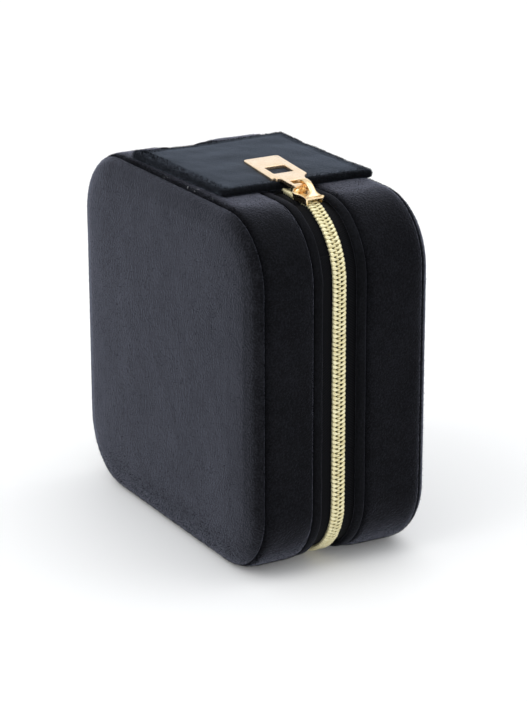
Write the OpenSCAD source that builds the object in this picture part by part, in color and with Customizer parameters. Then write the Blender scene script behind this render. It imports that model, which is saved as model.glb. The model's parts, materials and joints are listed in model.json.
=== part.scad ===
// Travel jewelry case: two padded, velvet-covered halves closed by a coil zip that runs round
// three sides, and joined along the fourth by a soft hinge panel.
// The case stands on its zip side with the hinge panel on top. +X is the side that the slider
// is parked next to, -Y is the lid and +Y is the base. The origin is the centre of the footprint.

/* [Case] */
// Width of the case
body_w = 100; // [94:1:110]
// Height of the padded body, without the hinge panel
body_h = 97; // [92:1:106]
// Depth of the lid, from the zip's centre line to its face
lid_depth = 25; // [24:0.5:30]
// Depth of the base, from the zip's centre line to its face
base_depth = 28; // [26:0.5:36]
// Radius of the four corners of the case
corner_r = 18.8; // [15:0.2:22]
// Roundness of the edge between a face and the walls
edge_r = 5.9; // [4:0.1:7]

/* [Walls] */
// Padded velvet on the outside of a wall
cover_t = 1.6; // [1.2:0.1:2]
// Moulded frame inside a wall
frame_t = 1.6; // [1.2:0.1:2]
// Velvet lining on the inside of a wall
lining_t = 1.0; // [0.6:0.1:1.2]
// Distance from a face to the seam on the walls
seam_d = 3.2; // [2.8:0.1:4]
// Board behind a padded face
board_t = 1.6; // [1.2:0.1:2]
// Distance from the zip's centre line to the folded rim of a wall
rim_gap = 5; // [4.8:0.1:6]
// Width of the folded rim
hem_w = 2.8; // [2:0.1:4]

/* [Zip] */
// Width of the closed coil
coil_w = 4.1; // [3.8:0.1:4.4]
// Thickness of the coil
coil_t = 1.4; // [1.2:0.1:1.6]
// Thickness of the tape
tape_t = 0.45; // [0.3:0.05:0.5]
// Length of the slider
slider_l = 8.6; // [8:0.1:9]
// Width of the slider's nose
slider_w = 6.8; // [6.4:0.1:7.4]
// Angle round the corner at which the closed slider is parked
park_angle = 3.4; // [2:0.2:5]
// Length of the pull's plate
pull_l = 21.3; // [16:0.1:24]
// Width of the pull's plate
pull_w = 10; // [8:0.5:10.5]
// Angle at which the pull lies askew
pull_skew = 8; // [5:1:8]

/* [Hinge panel] */
// Width of the hinge panel
panel_w = 47; // [42:0.5:48]
// Thickness of the hinge panel
panel_t = 2.2; // [1.6:0.1:2.4]
// Reach of the hinge panel over the lid, from the zip's centre line
panel_lid = 19.5; // [16:0.5:20]
// Reach of the hinge panel over the base, from the zip's centre line
panel_base = 24.8; // [18:0.2:25]

/* [Inside] */
// Width of one ring roll
roll_w = 8.2; // [8:0.1:8.2]
// Thickness of the fixed partitions
partition_t = 2.4; // [2:0.1:3]
// Thickness of the loose dividers
divider_t = 2.2; // [1.8:0.1:2.4]
// Distance between the necklace straps
strap_pitch = 26; // [24:1:28]
// Width of a necklace strap
strap_w = 9; // [8:0.5:10]

/* [Hidden] */
$fn = 64;

BASE = 1;
LID = -1;
zip_y = (lid_depth - base_depth) / 2;
wall_t = cover_t + frame_t + lining_t;
half_w = body_w / 2;
wall_end = rim_gap + hem_w;
tape_reach = wall_end + 0.5;
tape_inset = 1.85;
coil_inset = 0.4;
coil_gap = 0.7;
hem_inset = 0.15;
inner_x = half_w - wall_t;
inner_z = [wall_t, body_h - wall_t];
hinge_z = body_h + panel_t;
base_floor = base_depth - seam_d - board_t - lining_t;
lid_floor = lid_depth - seam_d - board_t - lining_t;

// Slider and pull, in a frame that is tangent to the corner: s along the zip, n out of the wall
plate_n = [-0.2, 0.75];
lower_n = [-4.25, -3.35];
tail_w = 5.8;
flange_y = 2.4;
flange_n = -1.5;
post_w = 0.8;
crown_w = 2.2;
crown_profile = [[-3.7, 0.75], [-3.7, 3.5], [-2.9, 4.35], [-1.4, 4.4], [1.2, 3.7], [3.4, 2.5], [4.1, 0.75]];
window_profile = [[-2.7, 0.7], [-2.7, 3.2], [-2.2, 3.6], [-1.2, 3.6], [0.9, 2.95], [2.5, 2.0], [2.9, 0.7]];
pivot_s = -1.5;
pivot_n = 2.95;
pull_t = 1.0;
pull_shift = -0.4;
pull_roll = 3;
eye_in = 1.75;
eye_out = 2.9;
eye_l = 4.4;
neck_end = 7.8;
hole_l = 6.6;
hole_w = 5.2;
hole_bar = 4.2;
pivot_x = half_w - corner_r + (corner_r + pivot_n) * sin(park_angle) + pivot_s * cos(park_angle);
pivot_z = body_h - corner_r + (corner_r + pivot_n) * cos(park_angle) - pivot_s * sin(park_angle);

// Inside of the base
rolls = 6;
cross_z = 47;
cross_lo = cross_z - partition_t / 2;
cross_hi = cross_z + partition_t / 2;
rolls_x = -inner_x + rolls * (roll_w + 0.1);
partition_top = rim_gap + 2.2;
divider_top = partition_top + 0.8;
bed_t = 2;
fit_gap = 0.3;
front_divider_x = (rolls_x + partition_t + inner_x) / 2;
rear_divider_x = 8;

// Inside of the lid
pocket_x = 38;
pocket_z = [44, inner_z[1] - 2];
pocket_h = 6;
pocket_skin = 1;
elastic_l = 4;
strap_y = lid_floor - 1.3;
strap_t = 1.2;
strap_root = 14;
strap_tip = 34;
snap_z = strap_tip - strap_w / 2;
snap_r = 3.6;
rivet_r = 1;
cap_t = 0.9;
socket_t = 0.6;
socket_r = 1.7;
stud_t = 0.5;
stud_r = 1.4;

// A rectangle with round corners, centred on the origin
module rounded(w, h, r) {
    square([w - 2 * r, h], center = true);
    square([w, h - 2 * r], center = true);
    for (x = [-1, 1], y = [-1, 1]) translate([x * (w / 2 - r), y * (h / 2 - r)]) circle(r);
}

// The outline of the case seen from its face, drawn in by inset
module outline(inset) {
    translate([0, body_h / 2]) rounded(body_w - 2 * inset, body_h - 2 * inset, corner_r - inset);
}

// Stand a flat XZ drawing between two distances from the zip's centre line, on one half
module on_half(side, near, far) {
    y_top = zip_y + (side == BASE ? far : -near);
    translate([0, y_top, 0]) rotate([90, 0, 0]) linear_extrude(far - near) children();
}

// A band round the walls of one half, between two depths below the surface
module band(side, near, far, outer, inner) {
    on_half(side, near, far) difference() {
        outline(outer);
        outline(inner);
    }
}

// A box between two distances from the zip's centre line, on one half
module half_box(side, x, z, near, far) {
    on_half(side, near, far) translate([x[0], z[0]]) square([x[1] - x[0], z[1] - z[0]]);
}

function depth_of(side) = side == BASE ? base_depth : lid_depth;
function edge_inset(d) = edge_r - sqrt(edge_r * edge_r - (edge_r - d) * (edge_r - d));

// Padded face: a flat velvet panel whose edge rolls over to the seam on the walls
module face_cover(side) {
    depth = depth_of(side);
    step = 0.01;
    difference() {
        hull() for (d = [0, 0.3, 0.8, 1.5, 2.3, seam_d - step])
            on_half(side, depth - d - step, depth - d) outline(edge_inset(max(d, 0.12)));
        on_half(side, depth - seam_d - 1, depth - 1) outline(edge_inset(1) + 1);
    }
}

module face_foam(side) {
    depth = depth_of(side);
    on_half(side, depth - seam_d, depth - 1) outline(edge_inset(1) + 1);
}

module face_board(side) {
    depth = depth_of(side);
    on_half(side, depth - seam_d - board_t, depth - seam_d) outline(cover_t);
}

module wall_frame(side) {
    band(side, tape_reach, depth_of(side) - seam_d - board_t, cover_t, cover_t + frame_t);
}

module wall_cover(side) {
    band(side, wall_end, depth_of(side) - seam_d, 0, cover_t);
}

module hem(side) {
    band(side, rim_gap, wall_end, hem_inset, cover_t);
}

module wall_lining(side) {
    band(side, rim_gap, depth_of(side) - seam_d - board_t, cover_t + frame_t, wall_t);
}

module floor_lining(side) {
    depth = depth_of(side) - seam_d - board_t;
    on_half(side, depth - lining_t, depth) outline(wall_t);
}

// Zip parts stop under the hinge panel
module zip_tape(side) {
    difference() {
        band(side, coil_gap + 0.2, tape_reach, tape_inset, tape_inset + tape_t);
        half_box(side, [-20, 20], [body_h / 2, body_h], 0, tape_reach + 1);
    }
}

module zip_coil(side) {
    difference() {
        band(side, coil_gap, coil_w / 2, coil_inset, coil_inset + coil_t);
        half_box(side, [-21, 21], [body_h / 2, body_h], 0, coil_w);
    }
}

module base_face_cover() { color("#2b2e36") face_cover(BASE); }
module base_face_foam() { color("#d8d2b8") face_foam(BASE); }
module base_face_board() { color("#8d8878") face_board(BASE); }
module base_wall_frame() { color("#3c3d40") wall_frame(BASE); }
module base_wall_cover() { color("#1c1e23") wall_cover(BASE); }
module base_hem() { color("#24262c") hem(BASE); }
module base_wall_lining() { color("#17181c") wall_lining(BASE); }
module base_floor_lining() { color("#17181c") floor_lining(BASE); }
module base_zip_tape() { color("#0f1013") zip_tape(BASE); }
module base_zip_coil() { color("#d9c98f") zip_coil(BASE); }

module lid_face_cover() { color("#2b2e36") face_cover(LID); }
module lid_face_foam() { color("#d8d2b8") face_foam(LID); }
module lid_face_board() { color("#8d8878") face_board(LID); }
module lid_wall_frame() { color("#3c3d40") wall_frame(LID); }
module lid_wall_cover() { color("#1c1e23") wall_cover(LID); }
module lid_hem() { color("#24262c") hem(LID); }
module lid_wall_lining() { color("#17181c") wall_lining(LID); }
module lid_panel_lining() { color("#17181c") floor_lining(LID); }
module lid_zip_tape() { color("#0f1013") zip_tape(LID); }
module lid_zip_coil() { color("#d9c98f") zip_coil(LID); }

// The hinge panel spans both halves on top, and folds along the zip's centre line
module panel_plate(inset, low, high) {
    w = panel_w - 2 * inset;
    l = panel_lid + panel_base - 2 * inset;
    translate([0, zip_y + (panel_base - panel_lid) / 2, low])
        linear_extrude(high - low) rounded(w, l, 3 - inset);
}

module hinge_panel_cover() {
    skin = 0.6;
    color("#33373f") difference() {
        panel_plate(0, body_h, hinge_z);
        panel_plate(1, body_h + skin, hinge_z - skin);
    }
}

module hinge_panel_pad() {
    skin = 0.6;
    color("#d8d2b8") panel_plate(1, body_h + skin, hinge_z - skin);
}

// Lining strip that closes the gap between the halves, under the hinge panel
module hinge_gusset() {
    color("#17181c") translate([-19.5, zip_y - tape_reach, body_h - tape_inset - tape_t])
        cube([39, 2 * tape_reach, tape_t]);
}

// Bar tacks at both ends of the base half of the coil
module zip_end_stops() {
    color("#d9c98f") for (x = [-20.8, 19.4])
        half_box(BASE, [x, x + 1.4], [body_h - 1.8, body_h - 0.3], 0.6, 2.3);
}

// Carry a piece drawn in the slider's tangent frame to its parked place
module at_slider() {
    translate([half_w - corner_r, zip_y, body_h - corner_r])
        rotate([0, park_angle, 0]) translate([0, 0, corner_r]) children();
}

// A plate of the slider seen from above: a wide nose and a narrower tail
module slider_plan() {
    nose = slider_l / 2;
    translate([-nose / 2 + 0.2, 0]) rounded(nose + 0.4, slider_w, 1.4);
    rounded(slider_l, tail_w, 1.2);
}

module slider_body() {
    color("#e0b878") at_slider() {
        translate([0, 0, plate_n[0]]) linear_extrude(plate_n[1] - plate_n[0]) slider_plan();
        translate([0, 0, lower_n[0]]) linear_extrude(lower_n[1] - lower_n[0]) slider_plan();
        translate([0, 0, flange_n]) linear_extrude(plate_n[0] - flange_n) difference() {
            slider_plan();
            square([slider_l + 2, 2 * flange_y], center = true);
        }
        translate([-slider_l / 2 + 0.3, -post_w / 2, lower_n[1]])
            cube([1.6, post_w, plate_n[0] - lower_n[1]]);
    }
}

// The crown is the arch on the slider that the pull's eye hangs on
module slider_crown() {
    color("#e0b878") at_slider() translate([0, crown_w / 2, 0]) rotate([90, 0, 0])
        linear_extrude(crown_w) difference() {
            polygon(crown_profile);
            polygon(window_profile);
        }
}

// Pull, lying on the hinge panel: an eye round the crown, a neck and a plate with a square hole
module pull_tab() {
    plate_x = -neck_end - pull_l / 2;
    color("#e6be80") translate([pivot_x, zip_y + pull_shift, pivot_z])
        rotate([0, 0, -pull_skew]) rotate([pull_roll, 0, 0]) {
            translate([0, 0, -pull_t / 2]) linear_extrude(pull_t) difference() {
                union() {
                    translate([plate_x, 0]) rounded(pull_l, pull_w, 0.6);
                    translate([-neck_end / 2 - 0.2, 0]) square([neck_end - 0.4, 2 * eye_out], center = true);
                }
                translate([-eye_l, -eye_in]) square([eye_l + 1, 2 * eye_in]);
                translate([-neck_end - hole_bar - hole_l / 2, 0]) rounded(hole_l, hole_w, 0.4);
            }
            rotate([90, 0, 0]) cylinder(r = pull_t / 2, h = 2 * eye_out, center = true);
        }
}

// Fixed walls of the base
module cross_partition() {
    color("#1b1d22") half_box(BASE, [-inner_x, inner_x], [cross_lo, cross_hi], partition_top, base_floor);
}

module upright_partition() {
    color("#1b1d22")
        half_box(BASE, [rolls_x, rolls_x + partition_t], [inner_z[0], cross_lo], partition_top, base_floor);
}

// A loose divider: a board with a round top edge that drops between two walls
module divider(x, z) {
    r = divider_t / 2;
    half_box(BASE, [x - r, x + r], [z[0] + fit_gap, z[1] - fit_gap], divider_top + r, base_floor - fit_gap);
    translate([x, zip_y + divider_top + r, z[0] + fit_gap]) cylinder(r = r, h = z[1] - z[0] - 2 * fit_gap);
}

module front_divider() { color("#23252b") divider(front_divider_x, [inner_z[0], cross_lo]); }
module rear_divider() { color("#23252b") divider(rear_divider_x, [cross_hi, inner_z[1]]); }

// Trim what lies in a corner of the base to the round corner of the lining
module trim_to_corner() {
    intersection() {
        children();
        on_half(BASE, rim_gap, base_depth) outline(wall_t + 0.1);
    }
}

// Card bed that the ring rolls are glued to
module ring_roll_bed() {
    color("#5c5a52") trim_to_corner()
        half_box(BASE, [-inner_x, rolls_x], [inner_z[0], cross_lo], base_floor - bed_t, base_floor);
}

module ring_roll(i) {
    r = roll_w / 2;
    x = -inner_x + (i - 0.5) * (roll_w + 0.1);
    top = partition_top + 0.8;
    color("#1f2127") trim_to_corner() {
        half_box(BASE, [x - r, x + r], [inner_z[0] + 0.1, cross_lo - 0.1], top + r, base_floor - bed_t);
        translate([x, zip_y + top + r, inner_z[0] + 0.1]) cylinder(r = r, h = cross_lo - inner_z[0] - 0.2);
    }
}

// Gathered pocket on the lid, open towards the straps
module pocket_fabric() {
    top = lid_floor - pocket_h;
    color("#1f2127") difference() {
        half_box(LID, [-pocket_x, pocket_x], [pocket_z[0] + elastic_l, pocket_z[1]], top, lid_floor);
        half_box(LID, [-pocket_x + pocket_skin, pocket_x - pocket_skin],
            [pocket_z[0], pocket_z[1] - pocket_skin], top + pocket_skin, lid_floor + 1);
    }
}

module pocket_elastic() {
    top = lid_floor - pocket_h;
    color("#15161a") difference() {
        half_box(LID, [-pocket_x, pocket_x], [pocket_z[0], pocket_z[0] + elastic_l], top, lid_floor);
        half_box(LID, [-pocket_x + pocket_skin, pocket_x - pocket_skin],
            [pocket_z[0] - 1, pocket_z[0] + elastic_l + 1], top + pocket_skin, lid_floor + 1);
    }
}

// Covered strip that the necklace straps are sewn into
module strap_band() {
    color("#1b1d22") half_box(LID, [-36, 36], [6.5, strap_root - 0.8], strap_y - strap_t - 0.3, lid_floor);
}

module strap(i) {
    x = (i - 2) * strap_pitch;
    color("#26282f") on_half(LID, strap_y - strap_t, strap_y) translate([x, 0]) {
        difference() {
            union() {
                translate([-strap_w / 2, strap_root]) square([strap_w, snap_z - strap_root]);
                translate([0, snap_z]) circle(strap_w / 2);
            }
            translate([0, snap_z]) circle(rivet_r);
        }
    }
}

// Cap on the free side of a strap, riveted through it to the socket ring underneath
module snap_cap(i) {
    x = (i - 2) * strap_pitch;
    color("#e0b878") {
        on_half(LID, strap_y - strap_t - cap_t, strap_y - strap_t) translate([x, snap_z]) circle(snap_r);
        on_half(LID, strap_y - strap_t, strap_y + 0.1) translate([x, snap_z]) circle(rivet_r);
        on_half(LID, strap_y, strap_y + socket_t) translate([x, snap_z]) difference() {
            circle(snap_r);
            circle(socket_r);
        }
        on_half(LID, strap_y, strap_y + 0.1) translate([x, snap_z]) circle(socket_r + 0.1);
    }
}

// Studs riveted to the lid's lining, one under each cap
module snap_studs() {
    color("#e0b878") for (i = [-1, 0, 1]) {
        on_half(LID, lid_floor - stud_t, lid_floor) translate([i * strap_pitch, snap_z]) circle(snap_r);
        on_half(LID, strap_y + 0.25, lid_floor - stud_t) translate([i * strap_pitch, snap_z]) circle(stud_r);
    }
}

base_face_cover();
base_face_foam();
base_face_board();
base_wall_frame();
base_wall_cover();
base_hem();
base_wall_lining();
base_floor_lining();
base_zip_tape();
base_zip_coil();
lid_face_cover();
lid_face_foam();
lid_face_board();
lid_wall_frame();
lid_wall_cover();
lid_hem();
lid_wall_lining();
lid_panel_lining();
lid_zip_tape();
lid_zip_coil();
hinge_panel_cover();
hinge_panel_pad();
hinge_gusset();
zip_end_stops();
slider_body();
slider_crown();
pull_tab();
cross_partition();
upright_partition();
front_divider();
rear_divider();
ring_roll_bed();
for (i = [1:rolls]) ring_roll(i);
pocket_fabric();
pocket_elastic();
strap_band();
snap_studs();
for (i = [1:3]) strap(i);
for (i = [1:3]) snap_cap(i);
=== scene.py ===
"""Looks of the travel jewelry case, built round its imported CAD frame.

Shapes are worked out in millimetres and written in metres. The case is described by its outline,
which is a rounded rectangle seen from the face, and by the distance from the zip's centre line
towards a face. A half of the case is BASE or LID.
"""

import json
import math

import bmesh
import bpy
import numpy as np
from mathutils import Matrix, Vector


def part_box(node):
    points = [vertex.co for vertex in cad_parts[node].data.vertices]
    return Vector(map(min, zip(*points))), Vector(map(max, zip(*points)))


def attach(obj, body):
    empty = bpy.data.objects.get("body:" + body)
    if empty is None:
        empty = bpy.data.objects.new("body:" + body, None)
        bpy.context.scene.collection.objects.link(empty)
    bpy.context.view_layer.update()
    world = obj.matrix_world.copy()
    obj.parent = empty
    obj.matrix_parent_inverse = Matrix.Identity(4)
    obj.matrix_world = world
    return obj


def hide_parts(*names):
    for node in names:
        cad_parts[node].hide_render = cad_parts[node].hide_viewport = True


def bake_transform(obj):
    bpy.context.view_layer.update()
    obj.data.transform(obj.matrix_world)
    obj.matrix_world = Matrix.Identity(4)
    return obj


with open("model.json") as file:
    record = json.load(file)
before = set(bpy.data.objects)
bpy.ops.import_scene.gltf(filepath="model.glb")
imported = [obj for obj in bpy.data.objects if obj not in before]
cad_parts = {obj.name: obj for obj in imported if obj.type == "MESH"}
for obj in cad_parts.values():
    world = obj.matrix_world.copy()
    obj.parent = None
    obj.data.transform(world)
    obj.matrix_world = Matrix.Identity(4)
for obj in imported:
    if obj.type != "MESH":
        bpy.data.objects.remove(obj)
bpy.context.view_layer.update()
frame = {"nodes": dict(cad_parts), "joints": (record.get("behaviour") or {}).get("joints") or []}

MM = 0.001
BASE, LID = 1, -1
BODY = {BASE: "base", LID: "lid"}
TURN = math.pi / 2


def box_mm(node):
    """Lowest and highest corner of a CAD node, in mm."""
    low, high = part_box(node)
    return np.array(low) / MM, np.array(high) / MM


# Sizes read from the frame
HALF_W, _, HEIGHT = box_mm("base_wall_cover")[1]
ZIP_Y = (box_mm("base_zip_coil")[0][1] + box_mm("lid_zip_coil")[1][1]) / 2
DEPTH = {
    BASE: box_mm("base_face_cover")[1][1] - ZIP_Y,
    LID: ZIP_Y - box_mm("lid_face_cover")[0][1],
}

# Sizes shared with the CAD source
CORNER_R = 18.8
EDGE_R = 5.9  # rolled edge of a face
SEAM_D = 3.2  # from the face down to its seam
WALL_T = 4.2
BOARD_T = 1.6
LINING_T = 1.0
FLOOR = {side: DEPTH[side] - SEAM_D - BOARD_T - LINING_T for side in (BASE, LID)}
STRAIGHT_W = HALF_W - CORNER_R
STRAIGHT_H = HEIGHT - 2 * CORNER_R
ARC = CORNER_R * TURN
PERIMETER = 4 * STRAIGHT_W + 2 * STRAIGHT_H + 4 * ARC


# ---------------- curves and grids


def walk(s):
    """Points, outward normals and tangents (x, z) of the outline at distances s from its top middle,
    clockwise seen from the lid's face."""
    straight = np.array([2 * STRAIGHT_W, STRAIGHT_H] * 2)
    reach = np.array([HEIGHT / 2, HALF_W] * 2) - CORNER_R
    begins = np.concatenate([[0], np.cumsum(straight + ARC)])
    s = np.mod(np.asarray(s, float) + STRAIGHT_W, PERIMETER)
    edge = np.searchsorted(begins[1:4], s, side="right")
    along = np.clip(s - begins[edge], 0, straight[edge])
    course = -edge * TURN
    heading = course - (s - begins[edge] - along) / CORNER_R

    def turned(angle):
        return np.stack([np.cos(angle), np.sin(angle)], 1), np.stack([-np.sin(angle), np.cos(angle)], 1)

    ahead, outward = turned(course)
    tangent, normal = turned(heading)
    centre = outward * reach[edge, None] + ahead * (along - straight[edge] / 2)[:, None]
    return centre + [0, HEIGHT / 2] + CORNER_R * normal, normal, tangent


def smooth(t):
    """Ease from 0 to 1 as t goes from 0 to 1."""
    t = np.clip(t, 0, 1)
    return t * t * (3 - 2 * t)


def circle(count):
    """Angles of even steps round a full turn."""
    return np.linspace(0, 2 * math.pi, count, endpoint=False)


def grid_of(x, y, z):
    """Points from coordinates that broadcast together."""
    return np.stack(np.broadcast_arrays(x, y, z), -1)


def gaps(profile):
    """Distances between the points of a section."""
    return np.linalg.norm(np.diff(np.asarray(profile, float), axis=0), axis=1)


def ripple(a, b, scale, seed):
    """A smooth irregular height between about -1 and 1 at points (a, b), with features of about scale."""
    draw = np.random.default_rng(seed)
    total = np.zeros(np.broadcast(a, b).shape)
    for _ in range(7):
        angle = draw.uniform(0, 2 * math.pi)
        length = scale * draw.uniform(0.7, 1.9)
        phase = draw.uniform(0, 2 * math.pi)
        total += np.sin(2 * math.pi * (a * math.cos(angle) + b * math.sin(angle)) / length + phase)
    return total / 3.5


def spline(points, count):
    """Catmull-Rom curve through the points (any number of columns), as count rows."""
    p = np.asarray(points, float)
    p = np.vstack([2 * p[0] - p[1], p, 2 * p[-1] - p[-2]])
    t = np.linspace(0, len(p) - 3 - 1e-9, count)
    k = t.astype(int)
    f = (t - k)[:, None]
    a, b, c, d = p[k], p[k + 1], p[k + 2], p[k + 3]
    return 0.5 * (2 * b + (c - a) * f + (2 * a - 5 * b + 4 * c - d) * f**2 + (3 * b - a - 3 * c + d) * f**3)


def grid_quads(rows, cols, wrap_rows=False, wrap_cols=False):
    """Faces of a grid of points."""
    index = np.arange(rows * cols).reshape(rows, cols)
    if wrap_rows:
        index = np.vstack([index, index[:1]])
    if wrap_cols:
        index = np.hstack([index, index[:, :1]])
    corners = [index[:-1, :-1], index[1:, :-1], index[1:, 1:], index[:-1, 1:]]
    return np.stack(corners, -1).reshape(-1, 4)


def linked(name, data):
    """A new object in the scene."""
    obj = bpy.data.objects.new(name, data)
    bpy.context.scene.collection.objects.link(obj)
    return obj


def points_of(mesh):
    """The places of a mesh's points, in metres."""
    return np.array([v.co for v in mesh.vertices])


def move_points(mesh, points):
    """Put a mesh's points at these places, in metres."""
    mesh.vertices.foreach_set("co", points.astype(np.float32).ravel())


def new_object(name, points, faces, weave=None):
    """A smooth mesh object from points in mm and faces. weave is a coordinate in mm for woven materials."""
    mesh = bpy.data.meshes.new(name)
    points = np.asarray(points).reshape(-1, 3) * MM
    mesh.from_pydata(points.tolist(), [], [list(map(int, f)) for f in faces])
    mesh.validate()
    mesh.polygons.foreach_set("use_smooth", [True] * len(mesh.polygons))
    if weave is not None:
        data = mesh.attributes.new("weave", "FLOAT_VECTOR", "POINT").data
        data.foreach_set("vector", np.asarray(weave, np.float32).reshape(-1, 3).ravel())
    return linked(name, mesh)


def sheet_grid(name, grid, outward=None, wrap_rows=False, weave=None):
    """A mesh from a grid of points. Its faces look along outward, a function of their centres."""
    rows, cols = grid.shape[:2]
    quads = grid_quads(rows, cols, wrap_rows)
    flat = grid.reshape(-1, 3)
    if outward is not None:
        a, b, c = flat[quads[:, 0]], flat[quads[:, 1]], flat[quads[:, 2]]
        facing = np.cross(b - a, c - b)
        if (facing * outward(flat[quads].mean(1))).sum() < 0:
            quads = quads[:, ::-1]
    return new_object(name, flat, quads, weave)


def edit(obj, work):
    """Run work(bm) on an object's mesh."""
    bm = bmesh.new()
    bm.from_mesh(obj.data)
    work(bm)
    bm.to_mesh(obj.data)
    bm.free()
    obj.data.update()
    return obj


def face_outward(obj):
    """Turn the faces of a closed mesh outward."""
    return edit(obj, lambda bm: bmesh.ops.recalc_face_normals(bm, faces=bm.faces))


def face_along(obj, direction):
    """Turn the faces of an open mesh alike, so that most of them look along a direction."""

    def turn(bm):
        bmesh.ops.recalc_face_normals(bm, faces=bm.faces)
        if sum(f.normal.dot(direction) * f.calc_area() for f in bm.faces) < 0:
            bmesh.ops.reverse_faces(bm, faces=bm.faces)

    return edit(obj, turn)


def swept(name, sections, weave=None):
    """A closed sweep through sections (stations, points round, 3), with a face over each end."""
    rows, cols = sections.shape[:2]
    faces = grid_quads(rows, cols, wrap_cols=True).tolist()
    faces += [list(range(cols)), list(range((rows - 1) * cols, rows * cols))[::-1]]
    return face_outward(new_object(name, sections, faces, weave))


def join(name, parts):
    """One object from several, which share their materials."""
    points, faces, slots, mats = [], [], [], []
    count = 0
    for part in parts:
        m = part.data
        co = np.zeros(len(m.vertices) * 3, np.float32)
        m.vertices.foreach_get("co", co)
        points.append(co.reshape(-1, 3) / MM)
        offset = len(mats)
        mats.extend(m.materials)
        for poly in m.polygons:
            faces.append([v + count for v in poly.vertices])
            slots.append(offset + poly.material_index)
        count += len(m.vertices)
    made = new_object(name, np.vstack(points), faces)
    for mat in mats:
        made.data.materials.append(mat)
    if mats:
        made.data.polygons.foreach_set("material_index", slots)
    for part in parts:
        mesh = part.data
        bpy.data.objects.remove(part)
        bpy.data.meshes.remove(mesh)
    return made


def evaluated(obj):
    """A new mesh of an object as it shows, with its modifiers."""
    bpy.context.view_layer.update()
    shown = obj.evaluated_get(bpy.context.evaluated_depsgraph_get())
    return bpy.data.meshes.new_from_object(shown)


def modified(obj, kind, **settings):
    """Apply a modifier of this kind with these settings."""
    made = obj.modifiers.new(kind.lower(), kind)
    for key, value in settings.items():
        setattr(made, key, value)
    old = obj.data
    mesh = evaluated(obj)
    obj.modifiers.clear()
    obj.data = mesh
    bpy.data.meshes.remove(old)
    return obj


def subdivided(obj):
    """Smooth a mesh with one subdivision."""
    return modified(obj, "SUBSURF", levels=1)


def rounded_loop(width, height, radius, per_side):
    """Points and outward normals round a rounded rectangle: four runs of per_side points,
    each from one corner's middle to the next, anticlockwise from the low left corner."""
    arc = radius * math.pi / 4
    points, normals = [], []
    for side in range(4):
        course = side * TURN
        run = (width if side % 2 == 0 else height) - 2 * radius
        reach = (height if side % 2 == 0 else width) / 2
        tangent = np.array([math.cos(course), math.sin(course)])
        outward = np.array([math.sin(course), -math.cos(course)])
        for q in np.arange(per_side) / per_side * (run + 2 * arc):
            along = min(max(q - arc, 0), run)
            turn = (q - arc - along) / radius
            facing = outward * math.cos(turn) + tangent * math.sin(turn)
            centre = outward * (reach - radius) + tangent * (along - run / 2)
            points.append(centre + radius * facing)
            normals.append(facing)
    return np.array(points), np.array(normals)


def pad_points(width, height, radius, rings, per_side, back=False):
    """A pad seen from its face: rings of (depth, inset) that follow a rounded rectangle, with a grid
    inside the last ring, and inside the first one too if back is true. Returns points (a, b, depth)
    and faces."""
    loop, normal = rounded_loop(width, height, radius, per_side)
    around = len(loop)
    points = [np.column_stack([loop - normal * inset, np.full(around, depth)]) for depth, inset in rings]
    faces = [grid_quads(len(rings), around, wrap_cols=True)]
    count = len(rings) * around
    for ring in [len(rings) - 1] + ([0] if back else []):
        edge = points[ring]
        low, right = edge[: per_side + 1], edge[per_side : 2 * per_side + 1]
        top = edge[2 * per_side : 3 * per_side + 1][::-1]
        left = np.vstack([edge[3 * per_side :], edge[:1]])[::-1]
        u = np.linspace(0, 1, per_side + 1)[None, :, None]
        v = np.linspace(0, 1, per_side + 1)[:, None, None]
        sides = (1 - v) * low[None] + v * top[None] + (1 - u) * left[:, None] + u * right[:, None]
        ends = (1 - u) * (1 - v) * low[0] + u * (1 - v) * low[-1] + (1 - u) * v * top[0] + u * v * top[-1]
        fill = sides - ends
        index = np.zeros((per_side + 1, per_side + 1), int)
        index[1:-1, 1:-1] = count + np.arange((per_side - 1) ** 2).reshape(per_side - 1, -1)
        start = ring * around
        index[0, :] = start + np.arange(per_side + 1)
        index[:, -1] = start + per_side + np.arange(per_side + 1)
        index[-1, ::-1] = start + 2 * per_side + np.arange(per_side + 1)
        index[::-1, 0] = start + (3 * per_side + np.arange(per_side + 1)) % around
        corners = [index[:-1, :-1], index[:-1, 1:], index[1:, 1:], index[1:, :-1]]
        quads = np.stack(corners, -1).reshape(-1, 4)
        faces.append(quads if ring else quads[:, ::-1])
        points.append(fill[1:-1, 1:-1].reshape(-1, 3))
        count += (per_side - 1) ** 2
    return np.vstack(points), np.vstack(faces)


def round_over(radius, low, high, steps, power):
    """Rings of (depth, inset) over a padded edge, round (power 2) or fuller, from depth low to high."""
    start = math.asin(np.clip(1 - (high - low) / radius, -1, 1))
    rings = []
    for t in np.linspace(start, TURN, steps):
        rise, run = math.sin(t), math.cos(t)
        scale = (rise**power + run**power) ** (-1 / power)
        rings.append((high - radius * (1 - rise * scale), radius * (1 - run * scale)))
    return rings


# ---------------- materials


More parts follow.
